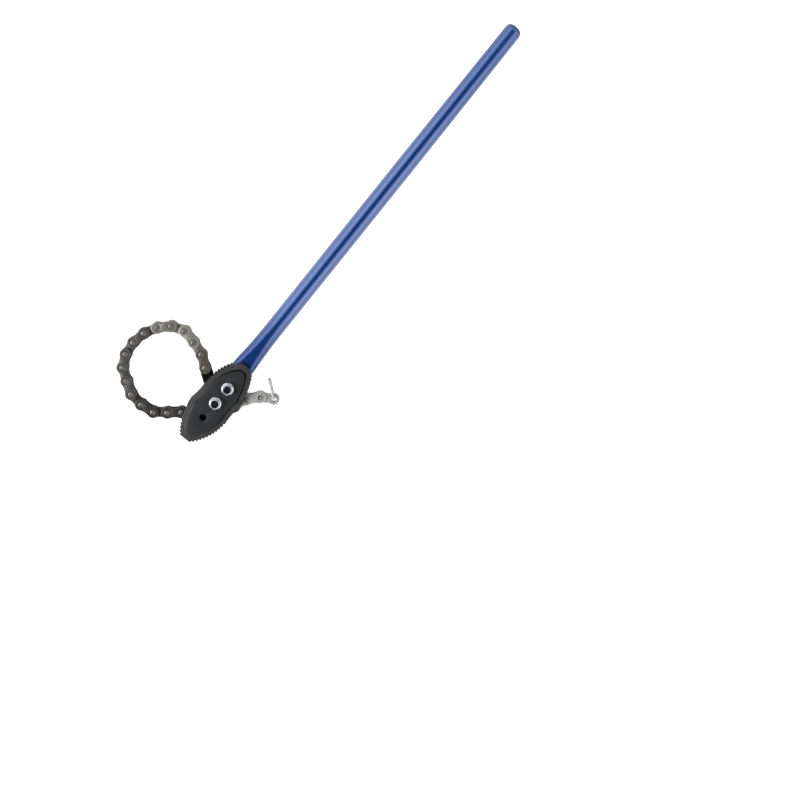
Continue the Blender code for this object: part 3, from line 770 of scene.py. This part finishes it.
@dataclass
class Fasteners:
    """Hexagon bolts, collared lock nuts and their nylon rings, about the wrench's middle plane."""

    flats: float = 0.019
    cone: float = math.radians(30)
    cone_reach: float = 1.02
    cone_sides: int = 96
    sliver: float = 1e-5
    seat: float = 0.0226
    nut_height: float = 0.012
    hex_height: float = 0.0085
    collar: float = 0.0089
    root: float = 0.003
    flange: float = 0.0111
    flange_rises: Point = (0.0003, 0.0012, 0.0024)
    flange_slope: float = 0.0016
    bore: float = 0.0063
    overrun: float = 0.01
    lip: float = 0.0070
    lip_drop: float = 0.0042
    ring_bore: float = 0.0061
    ring_height: float = 0.003
    ring_drop: float = 0.0011
    shank: float = 0.006
    shank_root: float = 0.002
    shank_drop: float = 0.002
    thread_depth: float = 0.0006
    thread_pitch: float = 0.00125
    thread_runout: float = 0.001
    head_height: float = 0.0075
    broken: float = 0.0002
    sides: int = 64
    shank_sides: int = 48
    dome:tuple[tuple[float, float], ...] = (
        (0.0001, 0.0), (0.00015, 0.0009), (0.0003, 0.0017), (0.0006, 0.0024), (0.0010, 0.0029),
        (0.0014, 0.0033), (0.00175, 0.0035))
    places: dict[str, str] = field(default_factory=lambda: {"pivot": "pivot_bolt",
                                                            "upper": "upper_bolt"})

    def build(self, box: Paintbox) -> None:
        """Dress both bolts.

        Args:
            box: The finishes.
        """
        for name, node in self.places.items():
            low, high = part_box(node)
            centre = Matrix.Translation(((low.x + high.x) / 2, (low.y + high.y) / 2, MIDDLE))
            pieces = ((self._nut(), "lock_nut", box.zinc, "zinc", "nut"),
                      (self._insert(), "nut_ring", box.nylon, "nylon", "nut_insert"),
                      (self._bolt(), "hex_bolt", box.bolt, "bolt_steel", "bolt"))
            for mesh, ending, finish, slot, part in pieces:
                mesh.transform(centre)
                mesh.shade_smooth()
                mesh.set_sharp_from_angle(angle=CARVED)
                show(f"{name}_{ending}", mesh, [finish], "wrench", (f"{name}_{part}",))

    def _hexagon(self, low: float, high: float, both: bool) -> Mesh:
        """Make a hexagon whose corners are turned off to a cone.

        Args:
            low: Its lower face.
            high: Its upper face.
            both: Whether the lower corners are turned off too.

        Returns:
            The hexagon.
        """
        across =self.flats / 2 / math.cos(math.pi / 6)
        prism = Form()
        middle = Matrix.Translation((0, 0, (low + high) / 2))
        bmesh.ops.create_cone(prism.bm, cap_ends=True, segments=6, radius1=across,
                              radius2=across, depth=high - low, matrix=middle)
        turned = Form()
        clear = across * self.cone_reach
        fall = (clear - self.collar) * math.tan(self.cone)
        foot = fall if both else 0.0
        near = self.collar if both else clear
        under, over = low - self.sliver, high + self.sliver
        turned.lathe([(0.0, under), (near, under), (clear, low + foot), (clear, high - fall),
                      (self.collar, over), (0.0, over)], self.cone_sides)
        return carve(prism.mesh("prism"), [(turned.mesh("turned"), "INTERSECT")])

    def _nut(self) -> Mesh:
        """Make a nut: flange, hexagon and domed collar, with a wider bore under its lip.

        Returns:
            The nut.
        """
        top = self.seat + self.nut_height
        shoulder = self.seat + self.hex_height
        root = shoulder - self.root
        collar = Form()
        dome = [(self.collar - run, shoulder + rise) for run, rise in self.dome]
        collar.lathe([(0.0, root), (self.collar - self.broken, root), *dome, (0.0, top)],
                     self.sides)
        bore = Form()
        under, over, step = self.seat - self.overrun, top + self.overrun, top - self.lip_drop
        bore.lathe([(0.0, under), (self.bore, under), (self.bore, step), (self.lip, step),
                    (self.lip, over), (0.0, over)], self.sides)
        body = self._hexagon(self.seat, shoulder, False)
        flange = Form()
        foot, edge, brow = (self.seat + rise for rise in self.flange_rises)
        flange.lathe([(0.0, self.seat), (self.flange - self.broken, self.seat),
                      (self.flange, foot), (self.flange, edge),
                      (self.flange - self.flange_slope, brow), (0.0, brow)], self.sides)
        return carve(body, [(flange.mesh("flange"), "UNION"), (collar.mesh("collar"), "UNION"),
                            (bore.mesh("bore"), "DIFFERENCE")])

    def _insert(self) -> Mesh:
        """Make a nylon ring, held under the nut's lip.

        Returns:
            The ring.
        """
        top = self.seat + self.nut_height - self.ring_drop
        foot, brow = top - self.ring_height, top - self.broken
        form = Form()
        outer = self.lip - self.broken / 2
        form.lathe([(self.ring_bore, foot), (outer, foot), (outer, brow),
                    (outer - self.broken, top), (self.ring_bore + self.broken, top),
                    (self.ring_bore, brow)], self.shank_sides)
        return form.mesh("nut_ring")

    def _bolt(self) -> Mesh:
        """Make a bolt: chamfered head, plain shank and a cut thread at its end.

        Returns:
            The bolt.
        """
        head = self._hexagon(-self.seat - self.head_height, -self.seat, True)
        shank = Form()
        under, start = -self.seat - self.shank_root, self.seat - self.root
        end = self.seat + self.nut_height - self.shank_drop
        turn, deep, pitch = self.shank, self.thread_depth, self.thread_pitch
        profile = [(0.0, under), (turn, under), (turn, start)]
        for step in range(int((end - self.thread_runout - start) / pitch)):
            foot = start + step * pitch
            profile += [(turn, foot + 0.25 * pitch), (turn - deep, foot + 0.75 * pitch)]
        profile += [(turn - self.broken / 2, end - self.thread_runout / 2), (turn - deep, end),
                    (0.0, end)]
        shank.lathe(profile, self.shank_sides)
        return carve(head, [(shank.mesh("shank"), "UNION")])


def carve(base: Mesh, steps: list[tuple[Mesh, str]]) -> Mesh:
    """Return a mesh after a row of Booleans.

    Args:
        base: The mesh to start from.
        steps: Each further mesh and its operation.

    Returns:
        The result, with its doubles merged.
    """
    body = bpy.data.objects.new("carved", base)
    bpy.context.scene.collection.objects.link(body)
    tools = []
    for mesh, operation in steps:
        tool = bpy.data.objects.new("carver", mesh)
        bpy.context.scene.collection.objects.link(tool)
        modifier = body.modifiers.new(operation.title(), "BOOLEAN")
        modifier.operation, modifier.solver, modifier.object = operation, "EXACT", tool
        tools.append(tool)
    graph = bpy.context.evaluated_depsgraph_get()
    result = bpy.data.meshes.new_from_object(body.evaluated_get(graph))
    for item in [body, *tools]:
        bpy.data.objects.remove(item)
    form = Form()
    form.bm.from_mesh(result)
    return form.mesh("carved_shape")


@dataclass
class AnchorLink:
    """The thick black link from the pivot bolt to the chain."""

    edge: float = 0.0008

    def build(self, box: Paintbox) -> None:
        """Dress the anchor link."""
        mesh = eased_copy("anchor_link", self.edge)
        show("anchor_plate", mesh, [box.anchor], "anchor_link", ("anchor_link",))


@dataclass
class Chain:
    """Pin links and bush links in turn, with peened pins, sunk ones near the end and a free hole.

    A crown is the radius of a pin's flat top, and the radius and depth of the dish in it. The
    words are the ends of a rear and a front plate's piece, mesh and solid.
    """

    eye: float = 0.01075
    eye_steps: int = 20
    waist: float = 0.0085
    waist_steps: int = 8
    plate: float = 0.003
    inner: float = 0.0028
    gap: float = 0.0003
    pin: float = 0.004
    head: float = 0.0048
    head_height: float = 0.0017
    skirt: float = 0.0002
    shoulder: float = 0.0006
    soft_run: float = 0.0004
    soft_rise: float = 0.0003
    bush: float = 0.0064
    bush_root: float = 0.001
    crown: tuple[float, float, float] = (0.0028, 0.0012, 0.0005)
    last_crown: tuple[float, float, float] = (0.0045, 0.0044, 0.0034)
    film: float = 0.0001
    sunk_end: float = 0.0029
    sunk_depth: float = 0.0009
    sunk_shift: tuple[float, float] = (0.0009, -0.0010)
    end_hole: float = 0.0042
    end_eye: float = 0.01042
    edge: float = 0.0005
    sides: int = 32
    count: int = 22
    pin_words: tuple[tuple[str, str, str], ...] = (
        ("rear_with_pins", "pin_link_rear", "pin_plate"),
        ("front", "pin_link_front", "cover_plate"))
    bush_words: tuple[tuple[str, str, str], ...] = (
        ("rear_with_bushes", "bush_link_rear", "bush_plate"),
        ("front", "bush_link_front", "side_plate"))
    tones:dict[int, Tone] = field(default_factory=lambda: {
        1: Tone.BROWNED, 2: Tone.WORN, 3: Tone.PALE, 4: Tone.WORN, 5: Tone.WORN,
        20: Tone.BRIGHT, 21: Tone.BRIGHT, 22: Tone.BRIGHT} | dict.fromkeys(range(12, 19),
                                                                           Tone.DARK))

    def build(self, box: Paintbox) -> None:
        """Dress every link at its place along the chain's hinges.

        Args:
            box: The finishes.
        """
        hinges = [Vector(joint["pos_m"]) for joint in frame["joints"][1:]]
        for number in range(1, self.count + 1):
            start, end = hinges[number - 1], hinges[number]
            heading = math.atan2(end.y - start.y, end.x - start.x)
            where = Matrix.Translation(start) @ Matrix.Rotation(heading, 4, "Z")
            steel = box.steel[self.tones.get(number, Tone.OILED)]
            last = number > self.count - 2
            name, slot = f"chain_{number:02d}", "bright_steel" if last else "chain_steel"
            make, core, words = ((self._pin_link, box.pin, self.pin_words) if number % 2
                                 else (self._bush_link, steel, self.bush_words))
            # on the last two links the second material is dark steel: painted shade lining the
            # wells round the sunk pin ends and the bushes in the end link's holes
            finishes = [steel, box.steel[Tone.DARK] if last else core]
            for form, looks, (ending, shape, node) in zip(make(last), (finishes, finishes[:1]),
                                                          words):
                form.lay_map()
                show(f"{name}_{ending}", form.mesh(shape, where), looks, name,
                     (f"{name}_{node}",))

    def _outline(self, form: Form, eye: float) -> Edges:
        """Draw a plate's outline, its first pin at x = 0: two round eyes and a hollow waist.

        Args:
            form: The plate's form, empty so far.
            eye: The eyes' radius.

        Returns:
            The outline's edges.
        """
        half = PITCH / 2
        hollow =(half ** 2 + self.waist ** 2 - eye ** 2) / (2 * (eye - self.waist))
        lean = math.atan2(half, self.waist + hollow)
        verts = [form.bm.verts.new((half + eye, 0.0, 0.0))]
        verts = self._sweep(form, verts, (half, 0, 0), math.pi / 2 + lean, self.eye_steps)
        self._sweep(form, verts, (0, self.waist + hollow, 0), -lean, self.waist_steps)
        for axis in ("Y", "X"):
            bmesh.ops.mirror(form.bm, geom=form.bm.verts[:] + form.bm.edges[:], axis=axis,
                             merge_dist=MERGED)
        bmesh.ops.remove_doubles(form.bm, verts=form.bm.verts, dist=MERGED)
        bmesh.ops.translate(form.bm, verts=form.bm.verts, vec=(half, 0, 0))
        return form.bm.edges[:]

    @staticmethod
    def _sweep(form: Form, verts: Verts, centre: Point, angle: float, steps: int) -> Verts:
        """Draw an arc from a point and return its last point."""
        made = bmesh.ops.spin(form.bm, geom=verts, cent=centre, axis=(0, 0, 1), dvec=(0, 0, 0),
                              angle=angle, steps=steps, use_merge=False, use_duplicate=False)
        return pick(made["geom_last"], bmesh.types.BMVert)

    def _plate(self, low: float, high: float, holes: tuple[tuple[float, float], ...],
               last: bool = False) -> Form:
        """Return one link plate.

        Args:
            low: Its lower face.
            high: Its upper face.
            holes: The distance and radius of each hole.
            last: Whether it is the end link's, whose eyes are a little smaller.

        Returns:
            The plate's form.
        """
        form = Form()
        loops = [self._outline(form, self.end_eye if last else self.eye)]
        for reach, radius in holes:
            known = set(form.bm.edges)
            bmesh.ops.create_circle(form.bm, cap_ends=False, segments=self.sides, radius=radius,
                                    matrix=Matrix.Translation((reach, 0, 0)))
            loops.append([edge for edge in form.bm.edges if edge not in known])
        form.slab(loops, low, high)
        form.ease(self.edge)
        return form

    def _pins(self, form: Form, last: bool) -> None:
        """Add the two riveted pins of a pin link.

        Args:
            form: The link's form.
            last: Whether it is the last pin link, whose pin ends lie in wells lined with painted
                shade.
        """
        crown, dish, depth = self.last_crown if last else self.crown
        outer = self.inner + 2 * self.plate + self.gap
        seat, top = outer + self.gap / 2, outer + self.head_height
        head = [(self.head, seat), (self.head, seat + self.skirt),
                (self.head - self.skirt, seat + self.shoulder),
                (crown + self.soft_run, top - self.soft_rise), (crown, top), (dish, top),
                (dish - self.soft_run, top - depth), (0.0, top - depth + self.skirt)]
        foot = [(radius, -height) for radius, height in reversed(head)]
        profile = [*foot, (self.pin, -seat), (self.pin, seat), *head]
        for reach in (0.0, PITCH):
            form.lathe(profile, self.sides, (reach, 0, 0), 0 if last else 1)
            if last:
                self._well(form, reach, top - depth + self.film, top - self.soft_rise)

    def _well(self, form: Form, reach: float, floor: float, rim: float) -> None:
        """Line the well round a sunk pin end with a thin dark sheet of painted shade, and set the
        pin end in it off centre.

        Args:
            form: The link's form.
            reach: The pin's distance.
            floor: The well's floor.
            rim: The lining's upper edge.
        """
        wide, film = self.last_crown[1], self.film
        under, over = floor - 4 * film, floor + 2 * film
        # the lining: a thin dark sheet of painted shade round the well
        form.lathe([(0.0, under), (wide - 2 * film, under), (wide, rim), (wide - film, rim),
                    (wide - 4 * film, over), (0.0, over)], self.sides, (reach, 0, 0), 1)
        top = rim - self.sunk_depth
        centre = (reach + self.sunk_shift[0], self.sunk_shift[1], 0.0)
        form.lathe([(0.0, floor), (self.sunk_end, floor), (self.sunk_end, top - self.soft_rise),
                    (self.sunk_end - self.soft_rise, top), (0.0, top)], self.sides, centre, 0)

    def _pin_link(self, last: bool) -> tuple[Form, Form]:
        """Make a pin link.

        Args:
            last: Whether it is the last pin link.

        Returns:
            The rear plate with both pins, and the front plate.
        """
        low = self.inner + self.plate + self.gap
        high = low + self.plate
        hole = self.pin + self.gap
        rear = self._plate(-high, -low, ())
        self._pins(rear, last)
        return rear, self._plate(low, high, ((0.0, hole), (PITCH, hole)))

    def _bush_link(self, last: bool) -> tuple[Form, Form]:
        """Make a bush link.

        Args:
            last: Whether it is the end link, with the free hole.

        Returns:
            The rear plate with both bushes, and the front plate.
        """
        low, high = self.inner, self.inner + self.plate
        hole = self.pin + self.gap
        holes = ((0.0, hole), (PITCH, self.end_hole if last else hole))
        rear = self._plate(-high, -low, holes, last)
        foot, top = -low - self.bush_root, low - self.gap
        for reach, radius in holes:
            rear.lathe([(radius, foot), (radius, top), (self.bush, top), (self.bush, foot)],
                       self.sides, (reach, 0, 0), 1)
        return rear, self._plate(low, high, holes, last)


@dataclass
class PullRing:
    """The bright wire loop in the last link's hole."""

    wire: float = 0.0024
    near: float = 0.0015
    far: float = 0.0367
    half_height: float = 0.0086
    bend: float = 0.0034
    turn: float = math.radians(51)
    sides: int = 24
    bend_steps: int = 8

    def build(self, box: Paintbox) -> None:
        """Dress the ring: a wire section swept round four straights and four bends.

        Args:
            box: The finishes.
        """
        form = Form()
        bmesh.ops.create_circle(form.bm, cap_ends=False, segments=self.sides, radius=self.wire,
                                matrix=Matrix.Translation((self.near, 0, 0)))
        edges = form.bm.edges[:]
        rise, run = self.half_height - self.bend, self.far - self.near - 2 * self.bend
        moves = (((0, 0, rise), (self.near + self.bend, 0, rise)),
                 ((run, 0, 0), (self.far - self.bend, 0, rise)),
                 ((0, 0, -2 * rise), (self.far - self.bend, 0, -rise)),
                 ((-run, 0, 0), (self.near + self.bend, 0, -rise)))
        for move, centre in moves:
            edges = self._push(form, edges, move)
            edges = self._bend(form, edges, centre)
        self._push(form, edges, (0, 0, rise))
        hinge = Vector(frame["joints"][-1]["pos_m"])
        where = Matrix.Translation(hinge) @ Matrix.Rotation(self.turn, 4, "Z")
        show("pull_ring_wire", form.mesh("pull_ring_wire", where), [box.wire],
             "pull_ring", ("pull_ring",))

    @staticmethod
    def _push(form: Form, edges: Edges, move: Point) -> Edges:
        """Extrude the wire's section along a straight.

        Args:
            form: The ring's form.
            edges: The section's edges.
            move: The straight.

        Returns:
            The far section's edges.
        """
        made = bmesh.ops.extrude_edge_only(form.bm, edges=edges)["geom"]
        verts = pick(made, bmesh.types.BMVert)
        bmesh.ops.translate(form.bm, verts=verts, vec=move)
        return [edge for edge in pick(made, bmesh.types.BMEdge)
                if edge.verts[0] in verts and edge.verts[1] in verts]

    def _bend(self, form: Form, edges: Edges, centre: Point) -> Edges:
        """Turn the wire's section by a quarter about Y.

        Args:
            form: The ring's form.
            edges: The section's edges.
            centre: The bend's centre.

        Returns:
            The far section's edges.
        """
        verts = list({vert for edge in edges for vert in edge.verts})
        made = bmesh.ops.spin(form.bm, geom=verts + edges, cent=centre, axis=(0, 1, 0),
                              dvec=(0, 0, 0), angle=math.pi / 2, steps=self.bend_steps,
                              use_merge=False, use_duplicate=False)
        return pick(made["geom_last"], bmesh.types.BMEdge)


@dataclass
class Studio:
    """White floor, a bright room that is dark overhead, one key lamp and the camera.

    The world's bands are shares of a direction along an axis, from 0 to 1.
    """

    lens: float = 48.596
    sensor: float = 36.0
    clip_end: float = 20.0
    eye: Point = (0.363414, 0.086694, 2.0)
    aim: Point = (0.212024, -0.262982, MIDDLE)
    up_heading: float = math.radians(39.3515)
    floor_size: float = 6.0
    floor_drop: float = 0.0002
    mirrored: float = 0.2
    room: float = 1.30
    horizon: float = 0.60
    rise: Band = (0.0, 0.5)
    ends: float = 0.5
    end_fade: Band = (0.35, 0.85)
    gap_across: Band = (0.24, 0.70)
    gap_along: Band = (0.40, 0.70)
    key_place: Point = (-0.95, 1.14, 1.18)
    key_power: float = 23.0
    key_size: float = 0.5

    def build(self) -> None:
        """Set up the floor, the lights, the world and the camera."""
        self._camera()
        self._floor()
        self._key_lamp()
        self._world()
        bpy.context.scene.view_settings.view_transform = "Standard"

    def _camera(self) -> None:
        """Aim the camera down at the wrench as in the photograph."""
        data = bpy.data.cameras.new("camera")
        data.lens, data.sensor_width, data.clip_end = self.lens, self.sensor, self.clip_end
        camera = bpy.data.objects.new("camera", data)
        bpy.context.scene.collection.objects.link(camera)
        back = (Vector(self.eye) - Vector(self.aim)).normalized()
        hint = Vector((math.cos(self.up_heading), math.sin(self.up_heading), 0.0))
        right = hint.cross(back).normalized()
        axes = Matrix((right, back.cross(right), back)).transposed().to_4x4()
        camera.matrix_world = Matrix.Translation(self.eye) @ axes
        bpy.context.scene.camera = camera

    def _floor(self) -> None:
        """Lay a white floor that keeps the soft shadow and is faint in mirrors."""
        form = Form()
        bmesh.ops.create_grid(form.bm, x_segments=1, y_segments=1, size=self.floor_size)
        graph = Graph(bpy.data.materials.new("floor_white"))
        mirrored = (graph.node("ShaderNodeLightPath", output="Is Glossy Ray")
                    + graph.node("ShaderNodeLightPath", output="Is Transmission Ray"))
        seen = graph.node("ShaderNodeLightPath", output="Is Camera Ray") + mirrored * self.mirrored
        graph.feed(Base_Color=(0.80, 0.80, 0.80), Roughness=0.9, Specular_IOR_Level=0.0,
                   Emission_Color=graph.blend(seen, (0.0, 0.0, 0.0), (1.0, 1.0, 1.0)),
                   Emission_Strength=0.80)
        mesh = form.mesh("floor")
        mesh.materials.append(graph.owner)
        floor = bpy.data.objects.new("floor", mesh)
        floor.location.z = -self.floor_drop
        bpy.context.scene.collection.objects.link(floor)

    def _key_lamp(self) -> None:
        """Hang one square lamp at the upper left that faces the jaws."""
        data = bpy.data.lights.new("key_lamp", "AREA")
        data.shape, data.size, data.energy = "SQUARE", self.key_size, self.key_power
        lamp = bpy.data.objects.new("key_lamp", data)
        lamp.location = self.key_place
        lamp.rotation_euler = Vector(self.key_place).to_track_quat("Z", "Y").to_euler()
        bpy.context.scene.collection.objects.link(lamp)

    def _world(self) -> None:
        """Light all round: fading towards the horizon, dark overhead, white to the camera."""
        world = bpy.data.worlds.new("studio")
        bpy.context.scene.world = world
        graph = Graph(world, "Background")
        where = graph.node("ShaderNodeTexCoord", output="Generated")
        across, along = (graph.size(graph.part(where, axis)) for axis in "YX")
        gap = ((1.0 - graph.band(across, *self.gap_across))
               * (1.0 - graph.band(along, *self.gap_along)))
        rise = graph.band(graph.part(where, "Z"), *self.rise)
        sides = 1.0 - graph.band(along, *self.end_fade) * self.ends
        glow = (rise * (self.room - self.horizon) + self.horizon) * (1.0 - gap) * sides
        seen = graph.node("ShaderNodeLightPath", output="Is Camera Ray")
        strength = glow * (1.0 - seen) + seen
        graph.feed(Color=(1.0, 1.0, 1.0), Strength=strength)


def main() -> None:
    """Dress every part of the wrench and set the studio."""
    logging.basicConfig(level=logging.INFO, format="%(name)s %(message)s")
    box = Paintbox()
    Studio().build()
    Handle().build(box)
    Jaws().build(box)
    Fasteners().build(box)
    AnchorLink().build(box)
    Chain().build(box)
    PullRing().build(box)
    bpy.context.view_layer.update()


if __name__ == "__main__":
    main()
